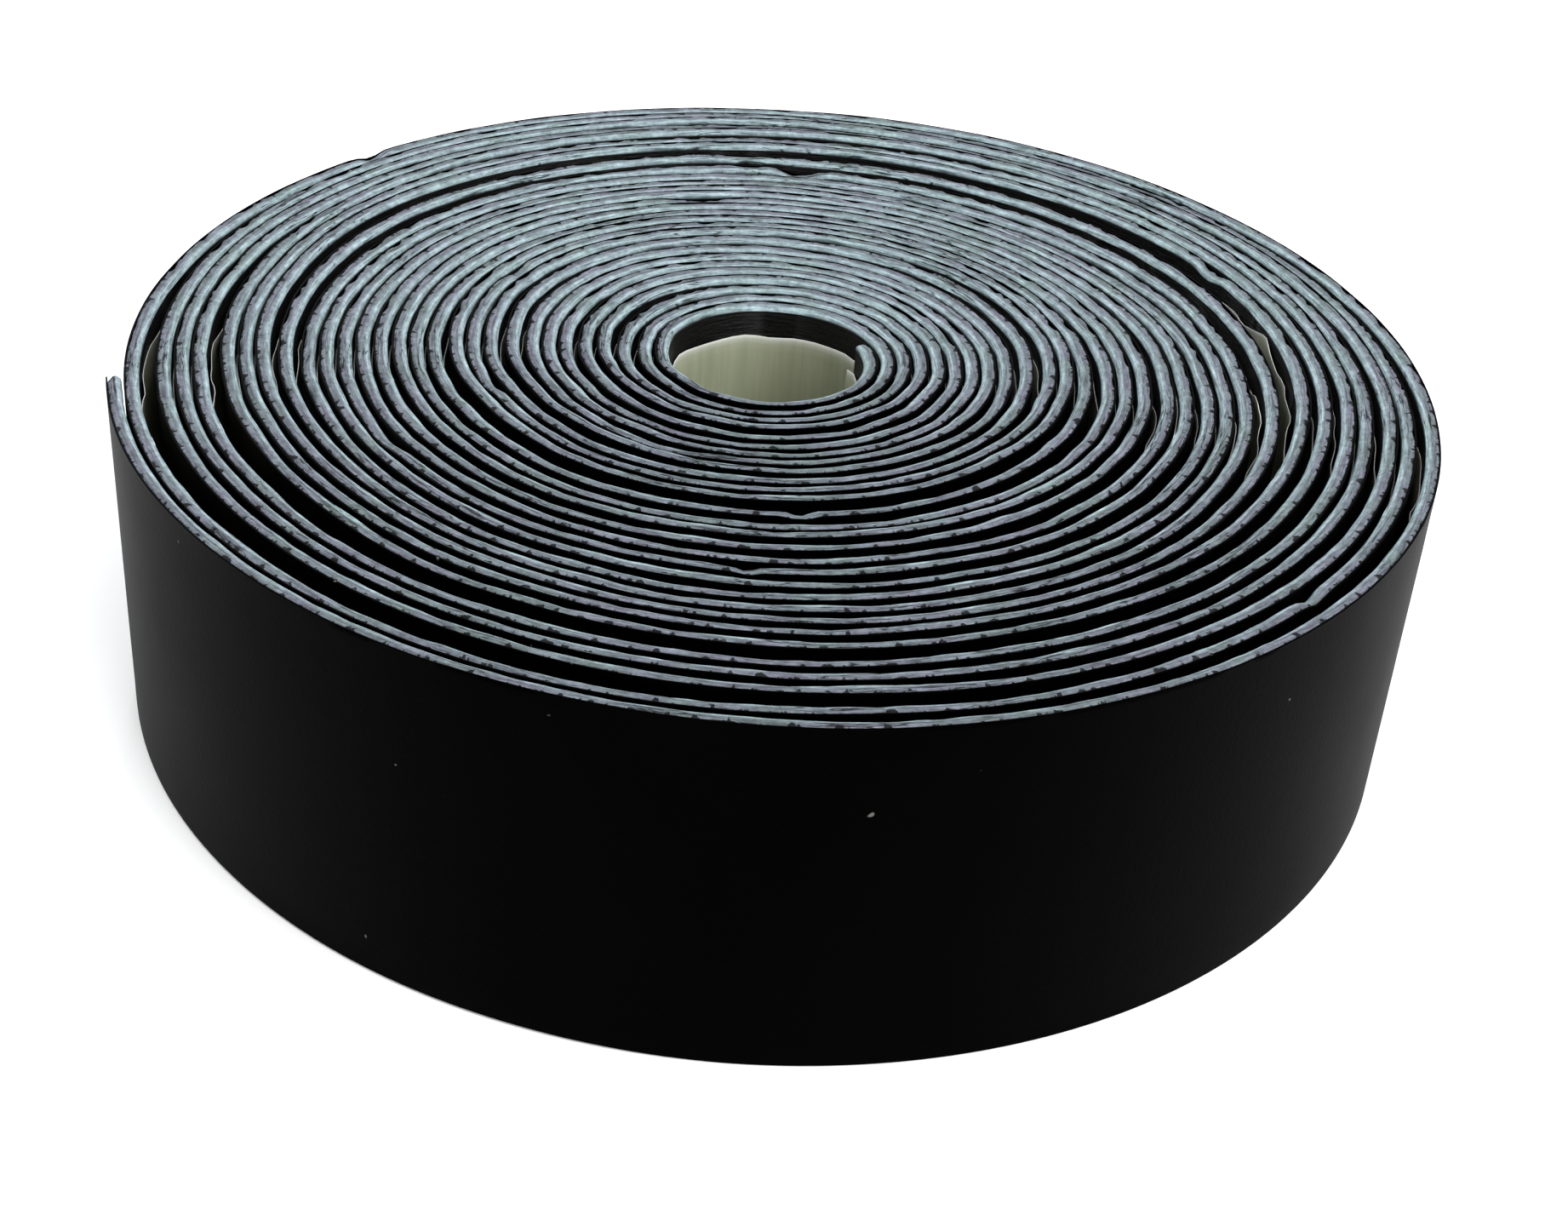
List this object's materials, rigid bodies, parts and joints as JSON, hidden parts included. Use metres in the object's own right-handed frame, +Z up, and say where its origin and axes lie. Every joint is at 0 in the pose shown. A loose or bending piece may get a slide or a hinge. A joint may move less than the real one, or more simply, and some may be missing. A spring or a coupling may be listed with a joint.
{
  "type": "grip tape roll",
  "caption": "Coreless roll of soft-faced foam grip tape, wound with a release film; the outer end peels off and the inner end folds into the hole.",
  "frame": {"origin": "centre of the roll's outline, on the surface that its lower cut edge stands on", "axes": "+Z up along the roll's axis and across the tape's width; the loose outer end lies towards -X, and the inner end's tip towards +X"},
  "size_m": [0.0906, 0.0912, 0.025],
  "materials": {
    "facing": "soft satin black polyurethane with a very fine grain",
    "foam": "matt cut foam, cool grey, slightly ragged",
    "film": "frosted, slightly creased film"
  },
  "bodies": {
    "roll": {"foam_core": "foam", "grip_facing": "facing", "release_film": "film"},
    "outer_end": {"outer_end_foam_core": "foam", "outer_end_grip_facing": "facing", "outer_end_release_film": "film"},
    "inner_end": {"inner_end_foam_core": "foam", "inner_end_grip_facing": "facing", "inner_end_release_film": "film"}
  },
  "joints": [
    {"name": "outer_end_peel", "type": "hinge", "parent": "roll", "child": "outer_end", "pos_m": [-0.01217, -0.04408, 0.0125], "axis": [0, 0, 1], "range_deg": [0, 70]},
    {"name": "inner_end_fold", "type": "hinge", "parent": "roll", "child": "inner_end", "pos_m": [0.00431, -0.00435, 0.0125], "axis": [0, 0, 1], "range_deg": [0, 35]}
  ]
}
